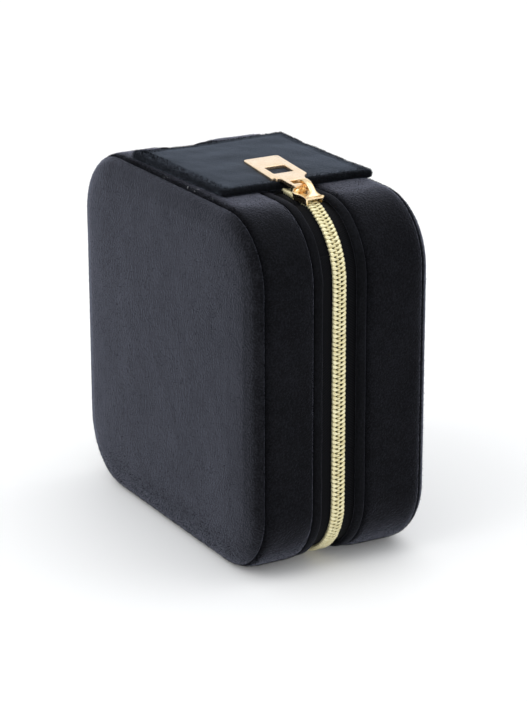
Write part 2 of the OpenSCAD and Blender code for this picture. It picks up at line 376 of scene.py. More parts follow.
class Graph:
    """A material's nodes."""

    def __init__(self, name):
        self.material = bpy.data.materials.new(name)
        self.material.use_nodes = True
        self.tree = self.material.node_tree
        self.shader = self.tree.nodes["Principled BSDF"]

    def add(self, kind, inputs=None, **settings):
        """A new node with its inputs and settings."""
        made = self.tree.nodes.new("ShaderNode" + kind)
        for key, value in settings.items():
            setattr(made, key, value)
        for key, value in (inputs or {}).items():
            self.set(made, key, value)
        return made

    def set(self, made, key, value):
        if isinstance(value, bpy.types.NodeSocket):
            self.tree.links.new(value, made.inputs[key])
        else:
            made.inputs[key].default_value = value

    def shade(self, **inputs):
        """Set the shader's sockets, with _ for each space in their names."""
        for key, value in inputs.items():
            self.set(self.shader, key.replace("_", " "), value)

    def place(self, scale=(1, 1, 1), weave=False, rotation=(0, 0, 0)):
        """Coordinates in metres, or the piece's weave coordinate in mm, stretched by scale."""
        if weave:
            source = self.add("Attribute", attribute_name="weave").outputs["Vector"]
        else:
            source = self.add("TexCoord").outputs["Object"]
        return self.add("Mapping", {"Vector": source, "Scale": scale, "Rotation": rotation}).outputs[0]

    def noise(self, where, scale, detail=2.0, rough=0.5):
        made = self.add("TexNoise", {"Vector": where, "Scale": scale, "Detail": detail, "Roughness": rough})
        return made.outputs["Fac"]

    def spread(self, value, low, high, to_low=0.0, to_high=1.0):
        """Map a value from low..high to to_low..to_high, clamped."""
        made = self.add("MapRange", {"Value": value, "From Min": low, "From Max": high})
        self.set(made, "To Min", to_low)
        self.set(made, "To Max", to_high)
        return made.outputs[0]

    def mix(self, share, first, second):
        made = self.add("Mix", data_type="RGBA")
        self.set(made, 0, share)
        self.set(made, 6, first)
        self.set(made, 7, second)
        return made.outputs[2]

    def wave(self, where, scale, distortion=0.0):
        """Even ribs across the first coordinate."""
        inputs = {"Vector": where, "Scale": scale, "Distortion": distortion}
        return self.add("TexWave", inputs, bands_direction="X").outputs["Fac"]

    def maths(self, operation, first, second=0.0):
        return self.add("Math", {0: first, 1: second}, operation=operation).outputs[0]

    def bumps(self, *layers):
        """Bumps over each other, from layers of (height, distance, strength)."""
        normal = None
        for height, distance, strength in layers:
            made = self.add("Bump", {"Height": height, "Distance": distance, "Strength": strength})
            if normal is not None:
                self.set(made, "Normal", normal)
            normal = made.outputs[0]
        return normal

    def finished(self, share, dark, light, roughness, layers, **more):
        """The material: two colours mixed by a share, a roughness, bumps, and other settings."""
        colour = self.mix(share, rgb(*dark), rgb(*light))
        self.shade(Base_Color=colour, Roughness=roughness, Normal=self.bumps(*layers), **more)
        return self.material


def rgb(r, g, b):
    """An opaque colour."""
    return (r, g, b, 1.0)


def velvet(name, dark, light, sheen, tint, grain=1.0, fuzz=0.4):
    """Short-pile velvet: pile that lies this way and that in soft patches, a fine grain and a sheen
    that grows towards the edges."""
    g = Graph(name)
    where = g.place()
    patches = g.noise(where, 60, 3.0, 0.55)
    crush = g.noise(where, 330, 3.0, 0.6)
    fibres = g.noise(where, 2000, 2.0, 0.7)
    lay = g.maths("ADD", g.maths("MULTIPLY", patches, 0.2), g.maths("MULTIPLY", crush, 0.2))
    lay = g.maths("ADD", lay, g.maths("MULTIPLY", fibres, 0.6))
    share = g.spread(lay, 0.44, 0.62)
    dull = g.spread(crush, 0.3, 0.7, 0.85, 0.98)
    layers = [(patches, 0.0005, 0.2), (crush, 0.00015, 0.15), (fibres, 0.0002, min(1.0, 0.8 * grain))]
    g.shade(Specular_IOR_Level=0.06, Sheen_Weight=sheen, Sheen_Roughness=fuzz, Sheen_Tint=rgb(*tint))
    return g.finished(share, dark, light, dull, layers)


def satin():
    """Thin satin with a fine weave and soft creases."""
    g = Graph("satin")
    fine = g.wave(g.place(weave=True), 2.2, 1.5)
    crease = g.noise(g.place(scale=(1, 1, 0.3)), 300, 3.0)
    dull = g.spread(crease, 0.3, 0.7, 0.32, 0.48)
    layers = [(crease, 0.0003, 0.4), (fine, 0.00004, 0.5)]
    g.shade(Specular_IOR_Level=0.6, Anisotropic=0.5, Sheen_Weight=0.2)
    return g.finished(crease, (0.012, 0.013, 0.018), (0.032, 0.034, 0.045), dull, layers)


def woven_tape():
    """Twill zip tape: slanting ribs along the band."""
    g = Graph("zip_tape")
    ribs = g.wave(g.place(weave=True, rotation=(0, 0, 0.6)), 0.55, 0.3)
    across = g.wave(g.place(weave=True), 0.8)
    threads = g.maths("MULTIPLY", ribs, g.spread(across, 0, 1, 0.6, 1.0))
    dark, light = (0.0012, 0.0012, 0.0018), (0.0065, 0.007, 0.0095)
    dull = g.spread(threads, 0, 1, 0.95, 0.8)
    g.shade(Specular_IOR_Level=0.08, Sheen_Weight=0.05)
    return g.finished(threads, dark, light, dull, [(threads, 0.0001, 0.6)])


def elastic_knit():
    """Narrow knitted elastic and hems: close ribs."""
    g = Graph("elastic_knit")
    ribs = g.wave(g.place(weave=True), 0.9, 0.4)
    dull = g.spread(ribs, 0, 1, 0.85, 0.6)
    g.shade(Sheen_Weight=0.25)
    return g.finished(ribs, (0.008, 0.008, 0.01), (0.028, 0.029, 0.035), dull, [(ribs, 0.0001, 0.7)])


def coil_nylon():
    """Metallised nylon filament: pale gold with rubbed, slightly uneven foil."""
    g = Graph("zip_coil")
    foil = g.noise(g.place(), 900, 3.0)
    scuffs = g.noise(g.place(scale=(1, 1, 0.2)), 5200, 2.0, 0.7)
    share, dull = g.spread(foil, 0.3, 0.7), g.spread(scuffs, 0.3, 0.75, 0.25, 0.45)
    g.shade(Metallic=0.42)
    return g.finished(share, (0.71, 0.63, 0.35), (0.91, 0.85, 0.56), dull, [(scuffs, 0.00003, 0.5)])


def gold_plate(name, deep, bright, smooth_to, rough_to):
    """Light-gold plating on a die casting: soft undulation and fine scratches."""
    g = Graph(name)
    cast = g.noise(g.place(), 380, 2.0)
    scratches = g.noise(g.place(scale=(1, 0.08, 1), rotation=(0, 0, 0.5)), 4200, 2.0, 0.7)
    share, dull = g.spread(cast, 0.3, 0.7), g.spread(scratches, 0.35, 0.75, smooth_to, rough_to)
    g.shade(Metallic=1.0)
    return g.finished(share, deep, bright, dull, [(cast, 0.0002, 0.35), (scratches, 0.000012, 0.5)])


def grey_board():
    """Pressed board of the faces and of the ring rolls' bed."""
    g = Graph("board")
    fibres = g.noise(g.place(scale=(1, 3, 1)), 900, 4.0, 0.7)
    dull = g.spread(fibres, 0.3, 0.7, 0.8, 0.95)
    return g.finished(fibres, (0.24, 0.22, 0.18), (0.42, 0.39, 0.33), dull, [(fibres, 0.0001, 0.6)])


def frame_plastic():
    """Moulded plastic of the wall frames."""
    g = Graph("frame_plastic")
    grain = g.noise(g.place(), 2200, 2.0)
    dull = g.spread(grain, 0.3, 0.7, 0.45, 0.6)
    return g.finished(grain, (0.035, 0.035, 0.04), (0.06, 0.06, 0.066), dull, [(grain, 0.00005, 0.5)])


def lint_fibre():
    """Pale lint."""
    g = Graph("lint")
    tone = g.noise(g.place(), 800, 2.0)
    g.shade(Base_Color=g.mix(tone, rgb(0.35, 0.36, 0.38), rgb(0.6, 0.62, 0.65)))
    g.shade(Roughness=0.8, Sheen_Weight=0.3)
    return g.material


# Colours between the hairs, and of the sheen
INK = (0.0015, 0.0016, 0.0021)
BLUE_INK = (0.0015, 0.0016, 0.0022)
COOL = (0.76, 0.79, 1.0)

# Face, flap and side velvets are one cloth. Their colours and sheens are set apart so that faces, flap and
# walls each come out as light or dark as the light makes them there: painted light and shade over the
# sheen's own shading.
FACE = velvet("velvet_face", BLUE_INK, (0.013, 0.0134, 0.0165), 0.46, (0.75, 0.79, 1.0), 1.3)
FLAP = velvet("velvet_flap", (0.0015, 0.0017, 0.0022), (0.008, 0.009, 0.0115), 0.31, (0.66, 0.78, 1.0), 1.3)
SIDE = velvet("velvet_side", INK, (0.0075, 0.0079, 0.01), 0.63, COOL, 1.2, fuzz=0.33)
LINING = velvet("velvet_lining", (0.004, 0.0042, 0.0055), (0.016, 0.017, 0.022), 0.5, (0.76, 0.8, 1.0), 0.8)
# Rim velvet: the wall's cloth with almost no sheen, painted shade over the folded hem
RIM = velvet("velvet_rim_painted_shade", INK, (0.006, 0.0064, 0.008), 0.1, COOL)
# Pile velvet: a near-black copy of the velvet with almost no sheen, for hairs that give fuzz and paint
# shade
SHADE_PILE = velvet("velvet_pile_painted_shade", (0.0012, 0.0012, 0.0018), (0.006, 0.0064, 0.009), 0.06, COOL)
SATIN = satin()
TAPE = woven_tape()
KNIT = elastic_knit()
COIL = coil_nylon()
GOLD = gold_plate("gold", (0.92, 0.67, 0.36), (0.98, 0.78, 0.49), 0.14, 0.28)
PALE_GOLD = gold_plate("gold_pull", (0.88, 0.66, 0.43), (0.94, 0.74, 0.52), 0.2, 0.34)
BOARD = grey_board()
PLASTIC = frame_plastic()
LINT = lint_fibre()


def finish_piece(obj, material, slot, body, *nodes):
    """Give a piece its material, let it ride, and hide the CAD nodes it stands for. slot is not used."""
    if not obj.data.materials:
        obj.data.materials.append(material)
    if nodes:
        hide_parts(*nodes)
    if body:
        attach(obj, body)
    return obj


# ---------------- pile and padding

# Hairs: half width, depth of the root, and how much their lean varies
HAIR_HALF_W = 0.045
HAIR_ROOT = 0.05
HAIR_LEAN = 0.55
# Cover of hairs: where it starts above the floor, its share everywhere, and what painted shade adds low
# down
PILE_FROM_Z = 0.6
THIN_COVER = 0.07
LOW_SHADE_COVER = 0.35
LOW_SHADE_BELOW_Z = 15


def pile(name, source, keep, density, length, body, seed):
    """Fine hairs of a velvet's pile, one slender triangle each: density hairs to the square mm, times the
    share from 0 to 1 that keep(centres in mm) gives each part of the surface. The hairs are near black
    with almost no sheen: they give the fuzz and also paint shade where they stand."""
    mesh = source.data
    mesh.calc_loop_triangles()
    corners = points_of(mesh) / MM
    triangles = corners[np.array([t.vertices for t in mesh.loop_triangles])]
    share = np.asarray(keep(triangles.mean(axis=1)), float)
    triangles, share = triangles[share > 0.01], share[share > 0.01]
    cross = np.cross(triangles[:, 1] - triangles[:, 0], triangles[:, 2] - triangles[:, 0])
    area = np.linalg.norm(cross, axis=1) / 2
    draw = np.random.default_rng(seed)
    weight = area * share
    count = int(weight.sum() * density)
    picked = draw.choice(len(area), count, p=weight / weight.sum())
    cut = np.sort(draw.uniform(0, 1, (count, 2)), axis=1)
    cut = np.stack([cut[:, 0], cut[:, 1] - cut[:, 0], 1 - cut[:, 1]], 1)
    root = (triangles[picked] * cut[:, :, None]).sum(axis=1)
    facing = cross[picked] / (2 * area[picked, None])
    lean = facing + draw.normal(0, HAIR_LEAN, (count, 3))
    lean /= np.linalg.norm(lean, axis=1)[:, None]
    tip = root + lean * (length * draw.uniform(0.4, 1.2, count))[:, None]
    side = np.cross(lean, draw.normal(0, 1, (count, 3)))
    side *= HAIR_HALF_W / np.linalg.norm(side, axis=1)[:, None]
    root = root - facing * HAIR_ROOT
    points = np.stack([root - side, root + side, tip], 1)
    hairs = new_object(name, points, np.arange(3 * count).reshape(-1, 3))
    return finish_piece(hairs, SHADE_PILE, "velvet_side", body)


def from_zip(centres):
    """Distances from the zip's centre line."""
    return np.abs(centres[:, 1] - ZIP_Y)


def pile_share(crease):
    """Share of hairs by place, for pile(). crease gives the strength of the nearest crease, from 0 to 1.
    There is a thin cover everywhere, thicker low down, where the dark hairs are painted shade that darkens
    the case towards the floor."""

    def share(centres):
        # Painted shade: dark hairs thicken towards the floor.
        low = LOW_SHADE_COVER * smooth((LOW_SHADE_BELOW_Z - centres[:, 2]) / 14)
        return np.maximum(crease(centres), THIN_COVER + low) * (centres[:, 2] > PILE_FROM_Z)

    return share


# Swelling: how much larger the simulated copy is, its frames, and rounds of sharing the movement
SIM_SCALE = 10
SIM_FRAMES = 20
SHARED_ROUNDS = 14


def swollen(obj, pinned, pressure):
    """Where the points of a mesh come to lie in a cloth simulation with air pressure. It runs on an
    enlarged copy."""
    scene = bpy.context.scene
    copy = linked(obj.name + "_sim", obj.data.copy())
    copy.data.transform(Matrix.Scale(SIM_SCALE, 4))
    group = copy.vertex_groups.new(name="pin")
    group.add([int(i) for i in np.flatnonzero(pinned)], 1.0, "REPLACE")
    cloth = copy.modifiers.new("cloth", "CLOTH")
    cloth.point_cache.frame_start = 1
    cloth.point_cache.frame_end = SIM_FRAMES
    settings = cloth.settings
    settings.vertex_group_mass = "pin"
    settings.use_pressure = True
    settings.uniform_pressure_force = pressure
    settings.quality = 6
    settings.mass = 0.2
    settings.effector_weights.gravity = 0
    settings.tension_stiffness = 8
    settings.compression_stiffness = 8
    settings.bending_stiffness = 0.4
    for number in range(1, SIM_FRAMES + 1):
        scene.frame_set(number)
    shown = copy.evaluated_get(bpy.context.evaluated_depsgraph_get())
    moved = points_of(shown.data) / SIM_SCALE
    mesh = copy.data
    bpy.data.objects.remove(copy)
    bpy.data.meshes.remove(mesh)
    scene.frame_set(1)
    return moved


def inflate(obj, pinned, pressure, cap):
    """Swell a mesh by air pressure, holding the pinned points, and let no point move further than cap
    in mm. The foam underneath keeps out small folds, so neighbouring points share their movement."""
    rest = points_of(obj.data)
    step = swollen(obj, pinned, pressure) - rest
    length = np.linalg.norm(step, axis=1)[:, None]
    limit = cap * MM
    step *= limit * np.tanh(length / limit) / np.maximum(length, 1e-9)
    edges = np.array([e.vertices for e in obj.data.edges])
    ends = np.vstack([edges, edges[:, ::-1]])
    links = np.bincount(ends[:, 0], minlength=len(rest))[:, None]
    for _ in range(SHARED_ROUNDS):
        near = np.stack([np.bincount(ends[:, 0], step[ends[:, 1], k], len(rest)) for k in range(3)], 1)
        step = np.where(np.asarray(pinned)[:, None], 0, (step + near / links) / 2)
    move_points(obj.data, rest + step)
    obj.data.update()
    return obj


# ---------------- the two padded halves


def on_side(side, x, distance, z):
    """Points at a distance from the zip's centre line on one half."""
    return grid_of(x, ZIP_Y + side * distance, z)


def band(side, profile, s, shape=None):
    """Grid of points round the walls of one half. The profile has rows of (distance from the zip's
    centre line, height above the outline). shape may change heights by place and distance."""
    point, normal, _ = walk(s)
    profile = np.asarray(profile, float)
    distance = np.broadcast_to(profile[:, 0], (len(s), len(profile)))
    height = np.broadcast_to(profile[:, 1], (len(s), len(profile)))
    if shape is not None:
        distance, height = shape(s[:, None], distance, height)
    x = point[:, 0][:, None] + normal[:, 0][:, None] * height
    z = point[:, 1][:, None] + normal[:, 1][:, None] * height
    return on_side(side, x, distance, z)


def away_from_middle(centres):
    """Directions from the middle of the case, in the plane of its outline."""
    out = centres - np.array([0, 0, HEIGHT / 2])
    out[:, 1] = 0
    return out


def round_outline(s, radius):
    """Places on a circle that stand for places round the outline, so that a ripple meets itself."""
    angle = s * 2 * math.pi / PERIMETER
    return radius * np.cos(angle), radius * np.sin(angle)


def weave_of(s, profile):
    """Distance along the band and across it, for woven materials."""
    across = np.concatenate([[0], np.cumsum(gaps(profile))])
    return grid_of(np.asarray(s)[:, None], across[None], 0.0)


def face_pad(side):
    """Padded velvet face: flat with a little crown, rolling over its edge down to the seam."""
    body, depth = BODY[side], DEPTH[side]
    seam = depth - SEAM_D
    fullness = {LID: 2.5, BASE: 2.0}[side]
    rings = [(seam - 0.5, 2.4), (seam - 0.35, 1.5), (seam - 0.05, 0.95)]
    rings += round_over(EDGE_R, seam + 0.35, depth, 12, fullness)
    rings += [(depth, inset) for inset in (7.4, 9.2, 11.2, 13.2)]
    flat, faces = pad_points(2 * HALF_W, HEIGHT, CORNER_R, rings, 72)
    a, b, d = flat.T
    on_face = smooth((d - depth + 1.5) / 1.5)
    crown = (1 - np.abs(a / HALF_W) ** 4) * (1 - np.abs(2 * b / HEIGHT) ** 4)
    waves = 0.07 * ripple(a, b, 34, 11 + side) + 0.03 * ripple(a, b, 9, 31 + side)
    d = d + on_face * (0.25 * crown + waves)
    points = on_side(side, a, d, b + HEIGHT / 2)
    pad = face_along(new_object(body + "_face_pad", points, faces), Vector((0, side, 0)))
    inflate(pad, flat[:, 2] < depth - 0.7, 3.0, 0.4)
    subdivided(pad)
    finish_piece(pad, FACE, "velvet_face", body, body + "_face_cover", body + "_face_foam")
    # Dark hairs along the seam: fuzz, and painted shade in the seam's crease
    by_edge = pile_share(lambda c: smooth((1.2 - np.abs(from_zip(c) - seam)) / 0.8))
    pile(body + "_face_pile", pad, by_edge, 34, 0.42, body, 107 + side)


# Section of the folded rim: from inside the case, round the fold at the zip, to the stitch line
RIM_PROFILE = [(11.6, -1.66), (9.5, -1.66), (7.3, -1.66), (6.0, -1.66), (5.35, -1.55), (5.06, -1.15)]
RIM_PROFILE += [(5.03, -0.75), (5.15, -0.42), (5.45, -0.22), (5.95, -0.1), (6.6, -0.06), (7.2, -0.12)]
RIM_PROFILE += [(7.6, -0.32), (7.78, -0.6), (7.82, -1.0)]


def wall_profile(side):
    """Section of the velvet wall: from the stitch line by the rim, across the wall, down into the seam."""
    end = DEPTH[side] - SEAM_D
    groove = [(7.8, -1.0), (7.82, -0.62), (7.95, -0.36), (8.2, -0.16), (8.6, -0.02), (9.1, 0.08)]
    groove += [(9.9, 0.16)]
    wall = [(d, 0.2) for d in np.linspace(11, end - 3.4, 8)]
    seam = [(end - 2.4, 0.17), (end - 1.6, 0.06), (end - 0.95, -0.12), (end - 0.45, -0.42)]
    seam += [(end - 0.15, -0.85), (end - 0.02, -1.35), (end + 0.02, -2.0)]
    return groove + wall + seam


def wrapped(side, node, name, profile, material, slot, shape, count, facing=1):
    """Velvet drawn tight round the walls of one half, with a section across it. It faces out (1) or in
    (-1)."""
    s = np.linspace(0, PERIMETER, count, endpoint=False)
    grid = band(side, profile, s, shape)
    skin = subdivided(sheet_grid(name, grid, lambda c: facing * away_from_middle(c), wrap_rows=True))
    points = points_of(skin.data)
    points[:, 2] = np.maximum(points[:, 2], 0)
    move_points(skin.data, points)
    finish_piece(skin, material, slot, BODY[side], node)
    return skin


def wall_skin(side):
    """Velvet over the wall, its folded and stitched rim at the zip, and the pile that stands up where
    the cloth bends sharply; the pile's dark hairs there are also painted shade along these creases."""
    body = BODY[side]
    seam = DEPTH[side] - SEAM_D

    def rim_shape(s, distance, height):
        a, b = round_outline(s, 180)
        top = smooth((height + 1.2) / 0.8)
        height = height + 0.06 * top * ripple(a + distance, b, 19, 5 + side)
        return distance + 0.08 * top * smooth((7.4 - distance) / 1.5) * ripple(a, b, 21, 15 + side), height

    def wall_shape(s, distance, height):
        on_wall = smooth((distance - 8.5) / 3) * smooth((seam - 1 - distance) / 3)
        a, b = round_outline(s, 60)
        b = b + distance
        waves = 0.1 * ripple(a, b, 26, 7 + side) + 0.03 * ripple(a * 2, b * 2, 11, 9)
        return distance, height + on_wall * waves

    hem, cover, slot = body + "_hem", body + "_wall_cover", "velvet_side"
    # The rim binding takes the low-sheen rim velvet: painted shade on the folded hem.
    rim = wrapped(side, hem, body + "_rim_binding", RIM_PROFILE, RIM, slot, rim_shape, 340)
    skin = wrapped(side, cover, body + "_wall_skin", wall_profile(side), SIDE, slot, wall_shape, 340)

    def by_seam(centres):
        return smooth((from_zip(centres) - seam + 1.4) / 1.1) * (centres[:, 2] > PILE_FROM_Z)

    def by_zip(centres):
        return smooth((6.6 - from_zip(centres)) / 1.6) * (centres[:, 2] > PILE_FROM_Z)

    # Dark hairs at the groove, the seam and the rim's fold: fuzz, and painted shade in these creases
    by_groove = pile_share(lambda c: smooth((9.6 - from_zip(c)) / 1.8))
    pile(body + "_wall_pile", skin, by_groove, 34, 0.42, body, 101 + side)
    pile(body + "_seam_pile", skin, by_seam, 40, 0.5, body, 103 + side)
    pile(body + "_rim_pile", rim, by_zip, 10, 0.35, body, 105 + side)


def lining_wall(side):
    """Velvet lining on the inside of a wall, folded over the rim."""
    low = FLOOR[side]
    node = BODY[side] + "_wall_lining"
    profile = [(6.6, -2.5), (5.5, -2.5), (5.05, -2.75), (4.95, -3.2), (5.0, -3.75), (5.35, -4.15)]
    profile += [(6.2, -4.25)]
    profile += [(d, -4.25) for d in np.linspace(8, low - 2, 6)]
    profile += [(low - 0.8, -4.3), (low - 0.1, -4.6), (low + 0.2, -5.0)]

    def shape(s, distance, height):
        inside = smooth((distance - 6) / 2)
        a, b = round_outline(s, 120)
        return distance, height - 0.1 * inside * (1 + ripple(a, b + distance, 21, 41 + side))

    wrapped(side, node, node + "_velvet", profile, LINING, "velvet_lining", shape, 260, facing=-1)


def lining_floor(side):
    """Velvet-covered card at the bottom of a half."""
    node = {BASE: "base_floor_lining", LID: "lid_panel_lining"}[side]
    floor = FLOOR[side]
    rings = [(floor + 0.9, 4.35), (floor + 0.5, 4.3), (floor + 0.15, 4.5), (floor + 0.02, 5.0)]
    rings += [(floor, inset) for inset in (6, 8, 10.5, 13)]
    flat, faces = pad_points(2 * HALF_W, HEIGHT, CORNER_R, rings, 44)
    a, b, d = flat.T
    inner = smooth((0.05 + floor - d + 0.05) / 0.1)
    d = d - 0.12 * inner * (0.5 + 0.5 * ripple(a, b, 30, 51 + side))
    points = on_side(side, a, d, b + HEIGHT / 2)
    cloth = face_along(new_object(node + "_velvet", points, faces), Vector((0, -side, 0)))
    subdivided(cloth)
    finish_piece(cloth, LINING, "velvet_lining", BODY[side], node)


# ---------------- zip

# Places along the outline, from its top middle
ZIP_START = 20.0
SLIDER_S = STRAIGHT_W + 1.1
CORNER_END = STRAIGHT_W + 0.72 * ARC
LEFT_END = PERIMETER - 20.5
COIL_STUB = (ZIP_START + 3.4, SLIDER_S - 1.4)
COIL_IN = SLIDER_S - 0.4
COIL_END = LEFT_END - 0.8

TOOTH_PITCH = 1.2


def is_open(s):
    """1 in front of the slider, where the two coils stand apart; 0 behind it."""
    return smooth((SLIDER_S - 0.9 - s) / 0.5)


def spread(s):
    """How far the open ends of the two coils stand apart in front of the slider."""
    return (1.25 + 0.75 * smooth((s - 23) / 8)) * is_open(s)


def lift(s):
    """How far a coil rises: its open end curls up in front of the slider, the closed part lies a little
    high just behind it, and the far end dips under the flap."""
    behind = 0.35 * smooth((s - SLIDER_S - 1) / 1.5) * smooth((SLIDER_S + 9 - s) / 5)
    dip = 1.5 * smooth((s - PERIMETER + 40) / 8)
    return 1.05 * is_open(s) * smooth((s - ZIP_START) / 3) + behind - dip


def zip_tape(side, name, start, end, nodes, body):
    """A length of woven tape behind the coil, with a turned edge at the centre."""
    profile = [(0.75, -2.3), (0.62, -2.1), (0.75, -1.88), (1.4, -1.85), (2.6, -1.88), (4, -1.92)]
    profile += [(5.2, -1.95), (6.6, -1.95), (8.25, -1.95), (8.25, -2.3), (5, -2.32), (2.5, -2.3)]
    s = np.linspace(start, end, max(12, int((end - start) / 1.1)))

    def shape(s, distance, height):
        apart = spread(s) * smooth((5 - distance) / 4)
        return distance + apart, height + lift(s) * smooth((4.8 - distance) / 3)

    tape = swept(name, band(side, profile, s, shape), weave_of(s, profile))
    return finish_piece(tape, TAPE, "zip_tape", body, *nodes)


# One turn of the coil: place along the zip, distance from the centre line, height, two half widths
COIL_TURN = [
    (-0.52, 1.74, -1.05, 0.50, 0.33),
    (-0.46, 1.58, -0.78, 0.60, 0.34),
    (-0.30, 1.30, -0.70, 0.62, 0.34),
    (-0.13, 1.00, -0.69, 0.50, 0.33),
    (-0.02, 0.72, -0.69, 0.31, 0.31),
    (0.05, 0.40, -0.71, 0.29, 0.30),
    (0.08, 0.00, -0.75, 0.31, 0.31),
    (0.08, -0.16, -0.98, 0.29, 0.31),
    (0.08, -0.14, -1.28, 0.29, 0.30),
    (0.12, 0.25, -1.47, 0.29, 0.30),
    (0.30, 0.90, -1.49, 0.33, 0.30),
    (0.58, 1.52, -1.42, 0.42, 0.32),
]
# How much each side's turns slant along the zip
SLANT = {BASE: 1.0, LID: 0.55}


def coil_run(side, start, end, seed):
    """One length of filament, wound as a flattened helix: along the top from the outer edge to the
    head, round it, and back underneath to the next turn."""
    offset = TOOTH_PITCH / 2 if side == BASE else 0
    first = math.ceil((start - offset) / TOOTH_PITCH) * TOOTH_PITCH + offset
    turns = math.ceil((end - first) / TOOTH_PITCH)
    turn = np.array(COIL_TURN) * [SLANT[side], 1, 1, 1, 1]
    ahead = np.roll(turn, -1, 0)[:, 1:3] - np.roll(turn, 1, 0)[:, 1:3]
    ahead /= np.linalg.norm(ahead, axis=1)[:, None]
    out = np.stack([-ahead[:, 1], ahead[:, 0]], 1)
    draw = np.random.default_rng(seed)
    wobble = np.repeat(draw.normal(0, 0.02, (turns, 3)), len(turn), axis=0)[:, None]
    count = np.repeat(np.arange(turns), len(turn))
    row = np.tile(np.arange(len(turn)), turns)
    round_it = circle(8)
    c, q = np.cos(round_it)[None], np.sin(round_it)[None]
    core = turn[row]
    middle = first + count * TOOTH_PITCH + core[:, 0]
    along = core[:, 3:4] * c + wobble[..., 0]
    point, normal, tangent = walk(middle)
    across = core[:, 1:2] + out[row, 0:1] * core[:, 4:5] * q + wobble[..., 1]
    across = across * (1 - 0.5 * is_open(middle))[:, None] + spread(middle)[:, None]
    height = core[:, 2:3] + out[row, 1:2] * core[:, 4:5] * q + wobble[..., 2] + lift(middle)[:, None]
    x = point[:, :1] + tangent[:, :1] * along + normal[:, :1] * height
    z = point[:, 1:] + tangent[:, 1:] * along + normal[:, 1:] * height
    return on_side(side, x, across, z)


def zip_coil(side, name, runs, nodes, body):
    """Lengths of coil between pairs of distances along the outline; the two sides of the zip are
    half a pitch apart."""
    parts = []
    for k, (start, end) in enumerate(runs):
        parts.append(swept(f"{name}_{k}", coil_run(side, start, end, 71 + side + 10 * k)))
    return finish_piece(join(name, parts), COIL, "zip_coil", body, *nodes)


def end_stops():
    """Bar tacks of metallised thread that close both ends of the base half of the coil."""
    low, high = box_mm("zip_end_stops")
    turn, thread = circle(16)[:, None], circle(6)[None]
    parts = []
    for x in (low[0] + 0.7, high[0] - 0.7):
        for k in range(5):
            out = 0.13 * np.cos(thread)
            grid = grid_of(
                x + np.cos(turn) * (0.55 + out),
                ZIP_Y + 0.85 + 0.3 * k + 0.17 * np.sin(thread),
                HEIGHT - 1.05 + np.sin(turn) * (0.68 + out),
            )
            parts.append(new_object(f"tack_{len(parts)}", grid, grid_quads(16, 6, True, True)))
    tacks = face_outward(join("zip_bar_tacks", parts))
    return finish_piece(tacks, COIL, "zip_coil", "base", "zip_end_stops")


# ---------------- slider and pull

# How far round the corner the slider is parked
PARK = math.radians(3.4)


def at_slider(points):
    """Points (along the zip, across it, outward) of the slider's frame, in their parked place."""
    s, y, n = np.moveaxis(np.asarray(points, float), -1, 0)
    r = CORNER_R + n
    x = STRAIGHT_W + r * math.sin(PARK) + s * math.cos(PARK)
    z = HEIGHT - CORNER_R + r * math.cos(PARK) - s * math.sin(PARK)
    return np.stack([x, ZIP_Y + y, z], -1)


def slider_half_width(s):
    """Half the slider's width: a round nose, wide shoulders, a waist, and a tail with flared corners."""
    nose = 3.1 * math.sqrt(max(0.06, 1 - max(0.0, (-1.7 - s) / 2.2) ** 2))
    waist = 2.4 + (3.1 - 2.4) * smooth((0.9 - s) / 2.6)
    flare = 0.5 * smooth((s - 2.4) / 1.8)
    return min(nose, waist + flare)


def cast(name, sections):
    """A swept part of the slider, from sections in its frame."""
    return swept(name, at_slider(np.array(sections)))


def mirrored(half):
    """The other half of a section, back from its middle."""
    return [(-y, n) for y, n in reversed(half)]


def slider_top():
    """Dished top plate with raised rims and turned-down flanges."""
    stations = [-3.88, -3.8, -3.6, -3.2, -2.7, -2.0, -1.2, -0.4, 0.4, 1.2, 2.0, 2.8, 3.4, 3.9]
    stations += [4.15, 4.26, 4.3]
    sections = []
    for at in stations:
        w = slider_half_width(at)
        nose = smooth((-at - 1.6) / 2.2)
        tail = smooth((at - 3.0) / 1.3)
        up = 0.5 * nose + 0.1 * tail
        rim = 1.3 - 0.1 * nose
        dish = 0.45 + 0.72 * tail + 0.3 * nose
        under = 0.06 + 0.44 * smooth((at - 3.2) / 1.1)
        hang = -0.85 + 0.75 * nose + 0.35 * tail
        ledge = max(w - 0.62, min(2.14, w - 0.25))
        half = [
            (ledge, hang),
            ((ledge + w) / 2 - 0.05, hang),
            ((ledge + w) / 2 + 0.03, hang + 0.12),
            (w - 0.06, 0.6 - 0.2 * tail),
            (w, rim - 0.3),
            (w - 0.06, rim - 0.1),
            (w - 0.22, rim),
            (w - 0.42, rim - 0.1),
            (w - 0.62, dish + 0.1),
            (w * 0.55, dish),
        ]
        inner = [(ledge, under - 0.2), (ledge - 0.2, under)]
        loop = half + mirrored(half) + [(-y, n) for y, n in inner] + inner[::-1]
        sections.append([(at - 0.14 * y * tail, y, n + up) for y, n in loop])
    return cast("slider_top", sections)


def slider_lower():
    """Flat lower plate with eased edges."""
    sections = []
    for at in (-3.8, -3.6, -3.2, -2.5, -1, 0.5, 2, 3.8, 4.2, 4.3):
        w = slider_half_width(at) - 0.2
        loop = [(w, -3.6), (w, -4.0), (w - 0.25, -4.25), (-w + 0.25, -4.25), (-w, -4.0), (-w, -3.6)]
        loop += [(-w + 0.25, -3.35), (w - 0.25, -3.35)]
        sections.append([(at, y, n) for y, n in loop])
    return cast("slider_lower", sections)


def slider_post():
    """Post between the two plates, which parts the coils."""
    half = [(-3.75, 0.25), (-3.6, 0.4), (-2.6, 0.4), (-2.4, 0.25)]
    loop = half + [(s, -y) for s, y in reversed(half)]
    return cast("slider_post", [[(s, y, n) for s, y in loop] for n in (-3.5, -2.5, -1.5, -0.2)])


